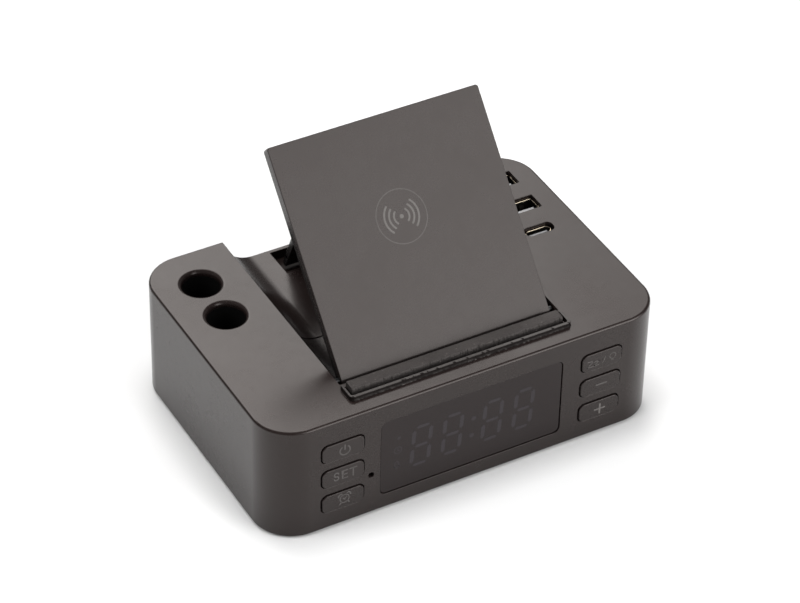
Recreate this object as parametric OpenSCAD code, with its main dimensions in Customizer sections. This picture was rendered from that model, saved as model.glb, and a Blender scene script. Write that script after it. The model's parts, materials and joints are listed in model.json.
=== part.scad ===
// Desk clock with pen holes, charging ports and a fold-up wireless charging plate.
// Frame: origin on the table under the middle of the body, +X to the right seen
// from the front, +Y to the rear, +Z up. Millimetres.

/* [Body] */
// Width of the body, left to right
body_w = 138; // [137:0.5:142]
// Depth of the body, front to rear
body_d = 94; // [93.5:0.5:96]
// Height of the body without its feet
body_h = 41.3; // [41:0.1:43]
// Radius of the four upright corners
corner_r = 13.2; // [12:0.1:14]
// Rounding of the top edge
top_fillet = 0.9; // [0.5:0.1:1.2]
// Thickness of the housing walls
wall = 2; // [1.9:0.1:2.1]
// Height that the rubber feet lift the body
foot_h = 0.8; // [0.6:0.1:1.2]

/* [Charging plate] */
// Width of the charging plate
plate_w = 73.4; // [72.8:0.1:73.6]
// Length of the plate from its hinge axis to its free edge
plate_l = 73.5; // [72:0.1:74]
// Thickness of the plate
plate_t = 4.05; // [4:0.05:4.1]
// Tilt of the raised plate above the horizontal, in degrees
plate_tilt = 48.8; // [46:0.1:51]
// Distance of the hinge axis in front of the body's middle
hinge_front = 28.55; // [28.2:0.05:28.6]

/* [Recess] */
// Width of the recess that takes the folded plate
recess_w = 77; // [76.6:0.1:77.4]
// Height of the recess floor above the body's underside
recess_floor = 31.5; // [31.3:0.1:31.6]
// Concave rounding between the recess walls and floor
recess_r = 11; // [10:0.5:11]

/* [Brace] */
// Width of the folding brace
brace_w = 38.8; // [36:0.1:40]
// Thickness of each brace link
link_t = 2.3; // [2.1:0.1:2.4]
// Distance of the lower brace pivot behind the body's middle
foot_y = 39.3; // [39:0.1:40]
// Distance of the upper brace pivot along the plate from its hinge axis
brace_s = 64; // [63:0.1:65]

/* [Buttons] */
// Width of each button cap
btn_w = 14.3; // [14:0.1:15.6]
// Height of each button cap
btn_h = 6.65; // [6.5:0.05:7.4]
// Spacing of the buttons in a column
btn_pitch = 10; // [9.9:0.01:10.4]
// Distance of the left button column from the middle
btn_left = 45.05; // [44.6:0.05:45.4]
// Distance of the right button column from the middle
btn_right = 45.95; // [45.6:0.05:46.6]
// Gap between a cap and its cut-out
btn_gap = 0.32; // [0.25:0.01:0.4]

/* [Display] */
// Width of the display lens
lens_w = 64; // [63:0.1:65]
// Height of the display lens
lens_h = 29; // [28.5:0.1:29.4]
// Height of the lens middle above the body's underside
lens_z = 19.7; // [19.5:0.1:20]

/* [Pen holes and ports] */
// Inner diameter of the pen tubes
pen_d = 12.4; // [11:0.1:12.6]
// Distance of the port row from the middle
port_x = 54.6; // [54.2:0.1:55]

/* [Hidden] */
$fn = 64;
e = 0.01;
pivot_y = -hinge_front;
pivot_z = body_h - plate_t/2;
split_z = -0.2;                       // parting plane inside the plate
cover_t = 2.2;
top_in = body_h - wall;               // underside of the top wall
front_y = -body_d/2;
in_y = front_y + wall;                // inner face of the front wall
pen_pos = [[-53.75, 30.7], [-53.75, 13.3]];
pen_rim = 1.3;
boss_pos = [[-43.5, 41.4], [43.5, 41.4], [-59.5, -34], [59.5, -34]];
feet_pos = [[-50, -33], [50, -33], [-50, 33], [50, 33]];
main_post = [[-35, -24], [35, -24], [-35, 36], [35, 36]];
pcb_boss = [[-35.05, 7], [35.4, 7], [-35.05, 33], [35.4, 33]];
plate_screw = [[-31, 7], [31, 7], [-31, 67], [31, 67]];
btn_z = [29.55, 29.55 - btn_pitch, 29.55 - 2*btn_pitch];
function col_x(sx) = sx < 0 ? -btn_left : btn_right;
pcb_y = -38.4;                        // front face of the display board
usb_a_y = [19.68, 34.08];
usb_c_y = 6.15;
usb_board_z = 28;                     // top face of the port board
port_top = body_h - 1.3;
liner_y = 0.6;                        // rear edge of the recess liner
recess_y0 = -32.4;                    // front wall of the recess
usb_c_x = port_x - 0.3;
rail_x = -0.6;                        // the curb and its strip sit a little left of the middle
pad_x = -0.5;
// Brace geometry: the two links lie in one line when the plate is raised.
foot_z = recess_floor + 0.35 + link_t/2;
brace_off = plate_t/2 + 0.35 + link_t/2;
up_y = pivot_y + brace_s*cos(plate_tilt) + brace_off*sin(plate_tilt);
up_z = pivot_z + brace_s*sin(plate_tilt) - brace_off*cos(plate_tilt);
link_l = norm([foot_y - up_y, foot_z - up_z])/2;
link_a = atan2(foot_z - up_z, foot_y - up_y);
up_half = 8.65;
arm_in = 10.4;
pin_r = 0.8;

// ---------- shared shapes ----------
module lift() { translate([0, 0, foot_h]) children(); }
module at_plate() { translate([0, pivot_y, pivot_z]) rotate([plate_tilt, 0, 0]) children(); }
module at_lower() { translate([0, foot_y, foot_z]) rotate([180 + link_a, 0, 0]) children(); }
module at_upper() { translate([0, up_y, up_z]) rotate([link_a, 0, 0]) children(); }

// Rectangle with round corners, centred
module rrect(w, h, r) {
  square([w - 2*r, h], center = true);
  square([w, h - 2*r], center = true);
  for (sx = [-1, 1], sy = [-1, 1]) translate([sx*(w/2 - r), sy*(h/2 - r)]) circle(r);
}
// Upright profile with rounded top corners, standing on the first axis
module dome_profile(half, h, r) {
  translate([-half, 0]) square([2*half, h - r]);
  translate([-(half - r), 0]) square([2*(half - r), h]);
  for (s = [-1, 1]) translate([s*(half - r), h - r]) circle(r);
}
// Block with upright round corners and a rounded top edge
module round_block(w, d, h, rc, rt) {
  rotate([90, 0, 90]) linear_extrude(w - 2*rc, center = true) dome_profile(d/2, h, rt);
  rotate([90, 0, 0]) linear_extrude(d - 2*rc, center = true) dome_profile(w/2, h, rt);
  for (sx = [-1, 1], sy = [-1, 1]) translate([sx*(w/2 - rc), sy*(d/2 - rc), 0])
    rotate_extrude() intersection() { dome_profile(rc, h, rt); square([rc + 1, h + 1]); }
}
// Cross-section of the recess, open at the top
module recess_profile(w, floor_z, r, top_z) {
  intersection() {
    union() {
      translate([-w/2, floor_z + r]) square([w, 20]);
      translate([-w/2 + r, floor_z]) square([w - 2*r, r + 20]);
      for (s = [-1, 1]) translate([s*(w/2 - r), floor_z + r]) circle(r);
    }
    translate([-w/2 - 1, floor_z - 1]) square([w + 2, top_z - floor_z + 1]);
  }
}
// Prism along Y between two stations
module along_y(y0, y1) { translate([0, y1, 0]) rotate([90, 0, 0]) linear_extrude(y1 - y0) children(); }
// Cylinder along Y, starting at y0
module rod_y(x, z, y0, y1, r) { translate([x, y1, z]) rotate([90, 0, 0]) cylinder(h = y1 - y0, r = r); }
// Cylinder along X
module rod_x(x0, x1, r) { translate([x0, 0, 0]) rotate([0, 90, 0]) cylinder(h = x1 - x0, r = r); }
// Bar with round ends, thickness t, running along Y from y0 to y1, between x0 and x1
module bar(x0, x1, y0, y1, t) {
  translate([x0, y0, -t/2]) cube([x1 - x0, y1 - y0, t]);
  translate([0, y0, 0]) rod_x(x0, x1, t/2);
  translate([0, y1, 0]) rod_x(x0, x1, t/2);
}
module both() { children(); mirror([1, 0, 0]) children(); }
// Pan-head screw pointing up, head underside at z = 0
module screw_up(hr, hh, r, l) {
  translate([0, 0, -hh]) cylinder(h = hh, r = hr);
  translate([0, 0, -e]) cylinder(h = l + e, r = r);
}

// ---------- housing ----------
module hinge_mounts() {
  // Solid blocks behind the recess walls
  both() translate([recess_w/2 - 0.2, pivot_y - 3.2, pivot_z - 3.4]) cube([4.4, 6.4, body_h - 0.6 - pivot_z + 3.4]);
}
module upper_housing() {
  color([0.20, 0.19, 0.19]) difference() {
    union() {
      difference() {
        union() {
          difference() {
            round_block(body_w, body_d, body_h, corner_r, top_fillet);
            translate([0, 0, -1]) linear_extrude(top_in + 1) rrect(body_w - 2*wall, body_d - 2*wall, corner_r - wall);
          }
          // tray that hangs under the top and holds the recess
          along_y(recess_y0 - 2, body_d/2 - 1) recess_profile(recess_w + 4, recess_floor - 2, recess_r + 2, body_h - 0.5);
          // box under the pocket at the rear of the recess
          translate([-23.8, 34.7, recess_floor - 5.4]) cube([47.6, body_d/2 - 1 - 34.7, 4]);
        }
        // recess for the folded plate, open at the rear
        along_y(recess_y0, body_d) recess_profile(recess_w, recess_floor, recess_r, body_h + 2);
        // seat of the liner, with a shadow gap behind its rear edge
        along_y(recess_y0, liner_y + 0.5) recess_profile(recess_w + 1.2, recess_floor - 0.6, recess_r + 0.6, body_h - 0.6);
        // pocket for the foot of the brace
        translate([-21.8, 36.65, recess_floor - 3.45]) cube([43.6, 8.95, 8]);
        // ramp down into the pocket
        translate([0, 36.65, recess_floor]) rotate([90, 0, 90]) linear_extrude(43.6, center = true)
          polygon([[-3, 0], [-0.6, -1.38], [e, -2.45], [e, 1], [-3, 1]]);
        // display window
        along_y(front_y - 1, in_y + 1) translate([0, lens_z]) rrect(lens_w, lens_h, 2.15);
        // button cut-outs
        for (sx = [-1, 1], z = btn_z) along_y(front_y - 1, in_y + 1)
          translate([col_x(sx), z]) rrect(btn_w + 2*btn_gap, btn_h + 2*btn_gap, 2 + btn_gap);
        // sensor hole
        rod_y(-35.2, 15, front_y - 1, in_y + 1, 1);
        // pen holes with rounded lips
        for (p = pen_pos) translate([p[0], p[1], 0]) rotate_extrude() {
          translate([0, top_in - 1]) square([pen_d/2, wall + 2]);
          difference() {
            translate([pen_d/2 - e, body_h - pen_rim]) square([pen_rim + e, pen_rim + 1]);
            translate([pen_d/2 + pen_rim, body_h - pen_rim]) circle(pen_rim);
          }
        }
        // port cut-outs
        for (y = usb_a_y) translate([port_x, y - 0.4, top_in - 1]) linear_extrude(wall + 2) rrect(13.6, 6.85, 0.35);
        translate([usb_c_x, usb_c_y - 0.4, top_in - 1]) linear_extrude(wall + 2) rrect(10.2, 4.5, 1.84);
        // power inlet cut-out in the rear wall
        along_y(body_d/2 - wall - 1, body_d/2 + 1) translate([26, 10.3]) rrect(9.5, 3.9, 1.94);
        // seat of the rubber strip
        translate([pad_x - 37.1, -38.75, body_h - 0.4]) cube([74.2, 4.7, 2]);
      }
      hinge_mounts();
      // brace ears standing in the pocket
      both() {
        translate([6.8, foot_y - 1.6, recess_floor - 4.2]) cube([3.3, 3.2, foot_z - recess_floor + 4.2]);
        translate([0, foot_y, foot_z]) rod_x(6.8, 10.1, 1.6);
      }
      // screw bosses
      for (p = boss_pos) translate([p[0], p[1], cover_t]) cylinder(h = top_in + 0.5 - cover_t, r = 2.6);
      for (p = pcb_boss) rod_y(p[0], p[1], in_y - 0.3, pcb_y, 1.4);
      for (y = [12.3, 26.9]) translate([port_x, y, usb_board_z]) cylinder(h = top_in + 0.3 - usb_board_z, r = 1.9);
    }
    // hinge pin bores
    both() translate([0, pivot_y, pivot_z]) rod_x(plate_w/2, recess_w/2 + 3.6, 1.05);
    // brace pin bore
    translate([0, foot_y, foot_z]) rod_x(-10.5, 10.5, pin_r + 0.05);
    // screw pilots
    for (p = boss_pos) translate([p[0], p[1], cover_t - 1]) cylinder(h = 9.4, r = 1.3);
    for (p = pcb_boss) rod_y(p[0], p[1], pcb_y - 5, pcb_y + 1, 0.8);
    for (y = [12.3, 26.9]) translate([port_x, y, usb_board_z - 1]) cylinder(h = 6, r = 0.8);
  }
}
module bottom_cover() {
  color([0.17, 0.165, 0.165]) difference() {
    union() {
      linear_extrude(cover_t) rrect(body_w - 2*wall - 0.2, body_d - 2*wall - 0.2, corner_r - wall - 0.1);
      for (p = main_post) translate([p[0], p[1], cover_t - 0.1]) cylinder(h = 4.9, r = 2.5);
    }
    for (p = boss_pos) translate([p[0], p[1], -1]) { cylinder(h = 5, r = 1.6); cylinder(h = 2.1, r = 2.5); }
    for (p = feet_pos) translate([p[0], p[1], -1]) cylinder(h = 1.7, r = 5.1);
    for (p = main_post) translate([p[0], p[1], 3]) cylinder(h = 5, r = 0.8);
    // ventilation slots
    for (x = [-20:8:20]) translate([x, 4, -1]) linear_extrude(5) rrect(2, 22, 0.99);
  }
}
module housing_screws() {
  color([0.6, 0.6, 0.62]) for (p = boss_pos) translate([p[0], p[1], 1.1]) screw_up(2.3, 0.9, 1.25, 8);
}
module rubber_feet() {
  color([0.1, 0.1, 0.1]) for (p = feet_pos) translate([p[0], p[1], -foot_h]) cylinder(h = foot_h + 0.7, r = 5);
}
module phone_rest_rail() {
  // low U-shaped curb with an upright face, open towards the plate
  color([0.13, 0.125, 0.125]) difference() {
    translate([rail_x, -35.57, body_h]) linear_extrude(1.5) rrect(recess_w + 0.4, 11.16, 1.4);
    translate([rail_x - 0.05, -35.02, body_h - 1]) linear_extrude(4) rrect(recess_w - 1.3, 10, 0.8);
    translate([-50, -34.4, body_h - 1]) cube([100, 8, 4]);
  }
}
module phone_rest_pad() {
  color([0.2, 0.19, 0.19]) translate([pad_x, -36.4, body_h - 0.4]) linear_extrude(2.9) rrect(73.8, 4.3, 0.5);
}
module cable_cover() {
  // thin liner over the plate's lead, following the front of the recess from wall to wall
  color([0.12, 0.12, 0.12]) difference() {
    along_y(recess_y0 + 0.15, liner_y) recess_profile(recess_w + 1.14, recess_floor - 0.6, recess_r + 0.57, body_h - 0.65);
    along_y(recess_y0 - 1, liner_y + 1) recess_profile(recess_w, recess_floor, recess_r, body_h + 2);
    both() translate([35.5, -34, recess_floor + 4]) cube([6, 9, 12]);
    translate([0, -29.5, recess_floor - 1]) linear_extrude(3) rrect(12, 2.4, 1.19);
  }
}

// ---------- display ----------
module display_lens() {
  color([0.07, 0.07, 0.08]) {
    along_y(front_y + 0.35, in_y) translate([0, lens_z]) rrect(lens_w - 0.3, lens_h - 0.3, 2);
    along_y(in_y, in_y + 0.7) translate([0, lens_z]) rrect(lens_w + 3, lens_h + 2.6, 1.5);
  }
}
function shear(p, k) = [p[0] + k*p[1], p[1]];
// One bar of a digit, as a six-sided outline leaning with the digit
module seg_h(cx, cz, l, t, k) {
  pts = [[cx - l/2, cz], [cx - l/2 + t/2, cz + t/2], [cx + l/2 - t/2, cz + t/2],
         [cx + l/2, cz], [cx + l/2 - t/2, cz - t/2], [cx - l/2 + t/2, cz - t/2]];
  polygon([for (p = pts) shear(p, k)]);
}
module seg_v(cx, cz, l, t, k) {
  pts = [[cx, cz - l/2], [cx - t/2, cz - l/2 + t/2], [cx - t/2, cz + l/2 - t/2],
         [cx, cz + l/2], [cx + t/2, cz + l/2 - t/2], [cx + t/2, cz - l/2 + t/2]];
  polygon([for (p = pts) shear(p, k)]);
}
module digit(w, h, t, k) {
  g = 0.35;
  for (z = [-h/2, 0, h/2]) seg_h(0, z, w - 2*g, t, k);
  for (sx = [-1, 1], sz = [-1, 1]) seg_v(sx*w/2, sz*h/4, h/2 - 2*g, t, k);
}
module digit_segments() {
  color([0.30, 0.30, 0.36]) along_y(in_y + 0.7, in_y + 1) translate([0, lens_z]) {
    for (x = [-17.4, -6.5, 7.7, 18.9]) translate([x, 0.6]) digit(6.5, 15.5, 1.55, 0.07);
    for (z = [-3.2, 3.2]) translate([0.4 + 0.07*z, z + 0.6]) circle(0.85);
  }
}
module display_module() {
  color([0.85, 0.85, 0.83]) along_y(in_y + 1, pcb_y) translate([0, lens_z]) rrect(62.6, 27.8, 1);
}
module display_pcb() {
  color([0.08, 0.28, 0.16]) difference() {
    along_y(pcb_y, pcb_y + 1.6) translate([0, 19.7]) rrect(111, 32.4, 1.5);
    for (p = pcb_boss) rod_y(p[0], p[1], pcb_y - 1, pcb_y + 3, 1.1);
  }
}
module display_pcb_screws() {
  color([0.6, 0.6, 0.62]) for (p = pcb_boss) translate([p[0], pcb_y + 1.6, p[1]]) rotate([90, 0, 0]) screw_up(1.7, 1.1, 0.75, 5.4);
}
module tact_switches() {
  color([0.1, 0.1, 0.1]) for (sx = [-1, 1], z = btn_z) {
    translate([col_x(sx) - 3, pcb_y - 2.8, z - 3]) cube([6, 2.8, 6]);
    rod_y(col_x(sx), z, pcb_y - 3.4, pcb_y - 2.7, 1.6);
  }
}
module light_sensor() {
  color([0.15, 0.15, 0.17]) {
    rod_y(-35.2, 15, in_y + 0.3, pcb_y, 1.1);
  }
}
// Button: cap through the front wall, inner lip and plunger
module button(sx, i) {
  color([0.22, 0.21, 0.21]) {
    along_y(front_y - 0.45, in_y + 0.4) translate([col_x(sx), btn_z[i]]) rrect(btn_w, btn_h, 2);
    along_y(in_y + 0.35, in_y + 1.15) translate([col_x(sx), btn_z[i]]) rrect(btn_w + 0.4, btn_h + 1.7, 2.6);
    rod_y(col_x(sx), btn_z[i], in_y + 1.1, pcb_y - 4.2, 1.5);
  }
}
module power_button() { button(-1, 0); }
module set_button() { button(-1, 1); }
module alarm_button() { button(-1, 2); }
module light_button() { button(1, 0); }
module minus_button() { button(1, 1); }
module plus_button() { button(1, 2); }

// ---------- boards inside ----------
module main_pcb() {
  color([0.08, 0.28, 0.16]) difference() {
    translate([0, 7.5, 7]) linear_extrude(1.6) rrect(78, 71, 1.5);
    for (p = main_post) translate([p[0], p[1], 6]) cylinder(h = 4, r = 1.1);
  }
}
module main_pcb_screws() {
  color([0.6, 0.6, 0.62]) for (p = main_post) translate([p[0], p[1], 8.6]) rotate([180, 0, 0]) screw_up(1.8, 1.2, 0.75, 5);
}
module controller_chips() {
  color([0.06, 0.06, 0.06]) {
    translate([-8, 16, 8.6]) cube([12, 12, 1.4]);
    translate([10, 12, 8.6]) cube([6, 8, 1.5]);
    translate([-28, 12, 8.6]) cube([8, 6, 1.5]);
  }
}
module power_inductors() {
  color([0.2, 0.2, 0.21]) for (p = [[24, 28], [-24, 28]]) translate([p[0], p[1], 8.6]) linear_extrude(5) rrect(10, 10, 1.8);
}
module buzzer() {
  color([0.05, 0.05, 0.05]) difference() {
    translate([-20, -10, 8.6]) cylinder(h = 6.5, r = 6);
    translate([-20, -10, 14]) cylinder(h = 2, r = 1);
  }
}
module cell_holder() {
  color([0.12, 0.12, 0.12]) difference() {
    translate([14, -10, 8.6]) cylinder(h = 3.8, r = 11.6);
    translate([14, -10, 9.3]) cylinder(h = 5, r = 10.1);
  }
}
module backup_cell() {
  color([0.75, 0.75, 0.76]) translate([14, -10, 9.3]) cylinder(h = 3.2, r = 10);
}
module port_outline(w, h, r) { rrect(w, h, r); }
module power_inlet() {
  color([0.75, 0.74, 0.7]) translate([26, 0, 10.3]) {
    difference() {
      along_y(36.6, body_d/2 - 0.5) rrect(9, 3.3, 1.64);
      along_y(38.6, body_d/2 + 1) rrect(8.4, 2.7, 1.34);
    }
    along_y(38, body_d/2 - 1.6) square([6.7, 0.7], center = true);
    translate([-4, 37, -1.7]) cube([8, 6, 1]);
  }
}
module usb_pcb() {
  color([0.08, 0.28, 0.16]) difference() {
    translate([port_x, 19.5, usb_board_z - 1.6]) linear_extrude(1.6) rrect(16.4, 39, 1);
    for (y = [12.3, 26.9]) translate([port_x, y, usb_board_z - 3]) cylinder(h = 4, r = 1.1);
  }
}
module usb_pcb_screws() {
  color([0.6, 0.6, 0.62]) for (y = [12.3, 26.9]) translate([port_x, y, usb_board_z - 1.6]) screw_up(1.8, 1.2, 0.75, 5);
}
// Upright socket: metal shell, closed foot and contact tongue
module usb_a(y) {
  color([0.78, 0.76, 0.72]) translate([port_x, y, 0]) {
    difference() {
      translate([0, 0, usb_board_z]) linear_extrude(port_top - usb_board_z) rrect(13.1, 5.7, 0.5);
      translate([0, 0, usb_board_z + 2]) linear_extrude(20) rrect(12.5, 5.1, 0.3);
    }
    translate([-5.55, -2.3, usb_board_z + 1]) cube([11.1, 1.9, port_top - 1 - usb_board_z - 1]);
  }
}
module usb_a_port_1() { usb_a(usb_a_y[0]); }
module usb_a_port_2() { usb_a(usb_a_y[1]); }
module usb_c_port() {
  color([0.78, 0.76, 0.72]) translate([usb_c_x, usb_c_y, 0]) {
    difference() {
      translate([0, 0, usb_board_z]) linear_extrude(port_top - usb_board_z) rrect(9, 3.26, 1.62);
      translate([0, 0, usb_board_z + 4]) linear_extrude(20) rrect(8.4, 2.66, 1.32);
    }
    translate([-3.35, -0.4, usb_board_z + 3]) cube([6.7, 0.8, port_top - 0.8 - usb_board_z - 3]);
  }
}
// Pen tube: closed cup under a pen hole
module pen_tube(i) {
  color([0.1, 0.1, 0.1]) translate([pen_pos[i][0], pen_pos[i][1], 0]) difference() {
    translate([0, 0, cover_t]) cylinder(h = top_in - cover_t, r = pen_d/2 + 1);
    translate([0, 0, cover_t + 1.4]) cylinder(h = 60, r = pen_d/2);
  }
}
module pen_tube_1() { pen_tube(0); }
module pen_tube_2() { pen_tube(1); }

// ---------- charging plate, drawn flat about its hinge axis ----------
module plate_outline(inset) {
  w = plate_w - 2*inset;
  l = plate_l - inset;
  translate([-w/2, 0]) square([w, l - 1]);
  translate([-w/2 + 1, 0]) square([w - 2, l]);
  for (s = [-1, 1]) translate([s*(w/2 - 1), l - 1]) circle(1);
}
module plate_cavity() { translate([0, 37.8]) rrect(plate_w - 3.2, 68.4, 0.8); }
module plate_front_panel() {
  color([0.24, 0.23, 0.23]) at_plate() difference() {
    union() {
      difference() {
        union() {
          translate([0, 0, split_z]) linear_extrude(plate_t/2 - split_z) plate_outline(0);
          intersection() {
            rod_x(-plate_w/2, plate_w/2, plate_t/2);
            translate([-60, -5, split_z]) cube([120, 10, 10]);
          }
        }
        translate([0, 0, split_z - 1]) linear_extrude(1.1 - split_z + 1) plate_cavity();
      }
      for (p = plate_screw) translate([p[0], p[1], split_z]) cylinder(h = 1.4 - split_z, r = 2);
    }
    both() rod_x(30.9, 40, 1.02);
    for (p = plate_screw) translate([p[0], p[1], split_z - 1]) cylinder(h = 2.1, r = 0.72);
  }
}
module plate_back_cover() {
  color([0.2, 0.195, 0.195]) at_plate() difference() {
    union() {
      difference() {
        union() {
          translate([0, 0, -plate_t/2]) linear_extrude(plate_t/2 + split_z) plate_outline(0.15);
          intersection() {
            rod_x(-plate_w/2 + 0.15, plate_w/2 - 0.15, plate_t/2);
            translate([-60, -5, split_z - 10]) cube([120, 10, 10]);
          }
        }
        translate([0, 0, -1.1]) linear_extrude(5) plate_cavity();
      }
      for (p = plate_screw) translate([p[0], p[1], -1.5]) cylinder(h = 1.5 + split_z, r = 2);
      // ears for the brace
      both() {
        translate([8.95, brace_s - 1.5, -brace_off]) cube([1.15, 3, brace_off - 1.5]);
        translate([0, brace_s, -brace_off]) rod_x(8.95, 10.1, 1.5);
      }
    }
    both() rod_x(30.9, 40, 1.02);
    translate([0, brace_s, -brace_off]) rod_x(-12, 12, pin_r + 0.05);
    for (p = plate_screw) translate([p[0], p[1], -plate_t/2 - 1]) { cylinder(h = 5, r = 0.85); cylinder(h = 1.75, r = 1.5); }
  }
}
module charging_coil() {
  color([0.72, 0.42, 0.22]) at_plate() difference() {
    translate([0, 37, 0.25]) cylinder(h = 0.8, r = 20);
    translate([0, 37, -1]) cylinder(h = 4, r = 9);
  }
}
module ferrite_sheet() {
  color([0.16, 0.16, 0.17]) at_plate() translate([0, 37, -0.3]) linear_extrude(0.5) rrect(46, 46, 3);
}
module coil_pcb() {
  color([0.08, 0.28, 0.16]) at_plate() translate([0, 11, -1.05]) linear_extrude(0.6) rrect(40, 11, 1);
}
module plate_screws() {
  color([0.3, 0.3, 0.31]) at_plate() for (p = plate_screw) translate([p[0], p[1], -1.3]) screw_up(1.35, 0.6, 0.68, 2);
}
module plate_hinge_pins() {
  color([0.7, 0.7, 0.72]) at_plate() both() rod_x(31, recess_w/2 + 3.3, 1);
}

// ---------- folding brace ----------
module brace_lower_link() {
  color([0.13, 0.13, 0.13]) at_lower() difference() {
    union() {
      both() bar(arm_in, brace_w/2, -3.2, link_l, link_t);
      translate([-arm_in - 1, 3.8, -link_t/2]) cube([2*arm_in + 2, 14.2, link_t]);
    }
    rod_x(-30, 30, pin_r + 0.02);
    translate([0, link_l, 0]) rod_x(-30, 30, 0.72);
  }
}
module brace_lower_pin() {
  color([0.7, 0.7, 0.72]) at_lower() rod_x(-brace_w/2 + 0.2, brace_w/2 - 0.2, pin_r);
}
module brace_knee_pins() {
  color([0.7, 0.7, 0.72]) at_lower() translate([0, link_l, 0]) both() {
    rod_x(up_half + 0.35, brace_w/2 + 0.1, 0.7);
    rod_x(brace_w/2, brace_w/2 + 0.5, 1.05);
  }
}
module brace_upper_link() {
  color([0.13, 0.13, 0.13]) at_upper() difference() {
    bar(-up_half, up_half, 0, link_l, link_t);
    rod_x(-30, 30, pin_r + 0.02);
    translate([0, link_l, 0]) rod_x(-30, 30, 0.75);
    translate([0, link_l/2, -5]) linear_extrude(10) rrect(9, 12, 2);
  }
}
module brace_upper_pin() {
  color([0.7, 0.7, 0.72]) at_upper() rod_x(-10, 10, pin_r);
}

lift() upper_housing();
lift() bottom_cover();
lift() housing_screws();
lift() rubber_feet();
lift() phone_rest_rail();
lift() phone_rest_pad();
lift() cable_cover();
lift() display_lens();
lift() digit_segments();
lift() display_module();
lift() display_pcb();
lift() display_pcb_screws();
lift() tact_switches();
lift() light_sensor();
lift() power_button();
lift() set_button();
lift() alarm_button();
lift() light_button();
lift() minus_button();
lift() plus_button();
lift() main_pcb();
lift() main_pcb_screws();
lift() controller_chips();
lift() power_inductors();
lift() buzzer();
lift() cell_holder();
lift() backup_cell();
lift() power_inlet();
lift() usb_pcb();
lift() usb_pcb_screws();
lift() usb_a_port_1();
lift() usb_a_port_2();
lift() usb_c_port();
lift() pen_tube_1();
lift() pen_tube_2();
lift() plate_front_panel();
lift() plate_back_cover();
lift() charging_coil();
lift() ferrite_sheet();
lift() coil_pcb();
lift() plate_screws();
lift() plate_hinge_pins();
lift() brace_lower_link();
lift() brace_lower_pin();
lift() brace_knee_pins();
lift() brace_upper_link();
lift() brace_upper_pin();
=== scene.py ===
"""Looks of the desk clock with pen holes, charging ports and a fold-up charging plate.

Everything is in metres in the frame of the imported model. Lengths in the tables below are millimetres.
"""

import json
import math

import bmesh
import bpy
from mathutils import Matrix, Vector, noise

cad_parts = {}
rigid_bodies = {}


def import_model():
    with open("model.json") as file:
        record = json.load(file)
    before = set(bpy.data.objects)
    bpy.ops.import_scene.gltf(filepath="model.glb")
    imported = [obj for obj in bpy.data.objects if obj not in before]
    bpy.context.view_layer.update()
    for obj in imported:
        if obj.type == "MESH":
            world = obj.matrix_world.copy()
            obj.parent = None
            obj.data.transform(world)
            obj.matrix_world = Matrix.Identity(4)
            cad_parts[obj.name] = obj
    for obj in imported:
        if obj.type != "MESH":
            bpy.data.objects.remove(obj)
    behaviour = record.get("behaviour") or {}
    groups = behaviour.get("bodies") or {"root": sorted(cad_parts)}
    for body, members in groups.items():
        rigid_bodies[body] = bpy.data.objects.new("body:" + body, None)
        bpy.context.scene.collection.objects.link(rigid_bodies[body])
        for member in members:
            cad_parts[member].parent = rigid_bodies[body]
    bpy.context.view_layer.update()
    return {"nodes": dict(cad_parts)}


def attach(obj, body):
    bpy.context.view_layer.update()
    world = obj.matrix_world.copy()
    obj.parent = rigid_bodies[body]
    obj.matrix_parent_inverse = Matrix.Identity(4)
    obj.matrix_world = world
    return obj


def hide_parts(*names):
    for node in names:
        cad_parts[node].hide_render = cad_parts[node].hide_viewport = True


MM = 0.001

for stale in list(bpy.data.objects):
    bpy.data.objects.remove(stale)
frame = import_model()
NODE = frame["nodes"]
scene = bpy.context.scene


# ------------------------------------------------------------------ camera
cam_data = bpy.data.cameras.new("camera")
cam = bpy.data.objects.new("camera", cam_data)
scene.collection.objects.link(cam)
cam_right = Vector((0.87480, -0.48412, 0.01850))
cam_up = Vector((0.29178, 0.55701, 0.77754))
cam_back = cam_right.cross(cam_up).normalized()
cam_up = cam_back.cross(cam_right).normalized()
cam_right.normalize()
turn = Matrix((cam_right, cam_up, cam_back)).transposed().to_4x4()
cam.matrix_world = Matrix.Translation((-0.4026, -0.7031, 0.6915)) @ turn
cam_data.sensor_width = 36.0
cam_data.lens = 149.569
cam_data.clip_start = 0.01
cam_data.clip_end = 50.0
scene.camera = cam

scene.view_settings.view_transform = "Standard"
scene.view_settings.look = "None"


# ------------------------------------------------------------------ node helpers
def link(tree, a, b):
    tree.links.new(a, b)


def add(tree, kind, **values):
    n = tree.nodes.new(kind)
    for key, value in values.items():
        setattr(n, key, value)
    return n


def put(socket, value):
    socket.default_value = value


def ramp(tree, source, stops, mode="LINEAR"):
    """Colour ramp with (position, grey or rgb) stops."""
    n = add(tree, "ShaderNodeValToRGB")
    n.color_ramp.interpolation = mode
    els = n.color_ramp.elements
    while len(els) < len(stops):
        els.new(0.5)
    for el, (pos, col) in zip(els, stops):
        el.position = pos
        c = (col, col, col) if isinstance(col, (int, float)) else col
        el.color = (c[0], c[1], c[2], 1.0)
    link(tree, source, n.inputs["Fac"])
    return n.outputs["Color"]


def map_range(tree, source, a, b, c, d, smooth=False):
    n = add(tree, "ShaderNodeMapRange")
    if smooth:
        n.interpolation_type = "SMOOTHSTEP"
    for i, v in zip((1, 2, 3, 4), (a, b, c, d)):
        put(n.inputs[i], v)
    link(tree, source, n.inputs[0])
    return n.outputs[0]


def maths(tree, op, a, b=None):
    n = add(tree, "ShaderNodeMath", operation=op)
    for i, v in enumerate((a, b)):
        if v is None:
            continue
        if isinstance(v, (int, float)):
            put(n.inputs[i], v)
        else:
            link(tree, v, n.inputs[i])
    return n.outputs[0]


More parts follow.
